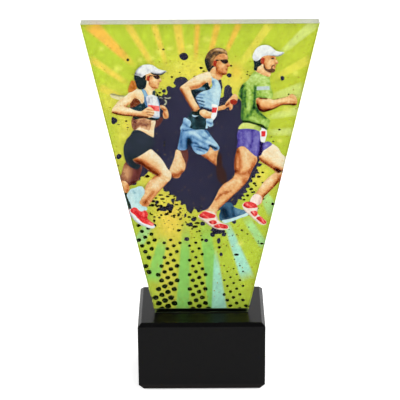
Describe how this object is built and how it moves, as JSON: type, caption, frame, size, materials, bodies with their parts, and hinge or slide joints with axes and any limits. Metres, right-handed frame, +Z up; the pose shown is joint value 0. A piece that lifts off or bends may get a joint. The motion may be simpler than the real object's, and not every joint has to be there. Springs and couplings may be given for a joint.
{
  "type": "printed glass award",
  "caption": "Award of clear plate glass, a trapezoid wider at the top with a picture printed on its back, glued upright on a chamfered black glass block.",
  "frame": {"origin": "on the surface that the award stands on, in the middle of the block", "axes": "+Z up, -Y out of the front of the award, +X to the right as seen from the front"},
  "size_m": [0.1426, 0.06, 0.2368],
  "materials": {
    "black_glass": "polished, opaque black",
    "clear_glass": "polished, clear",
    "printed_ink": "cured ink in many colours",
    "white_ink": "cured white ink, satin",
    "glue": "cured clear glue over the black block",
    "foot_rubber": "matte black"
  },
  "bodies": {
    "root": {"base_block": "black_glass", "glass_plate": "clear_glass", "artwork_print": "printed_ink", "white_coat": "white_ink", "glue_bed": "glue", "foot_front_left": "foot_rubber", "foot_front_right": "foot_rubber", "foot_back_left": "foot_rubber", "foot_back_right": "foot_rubber"}
  },
  "joints": []
}
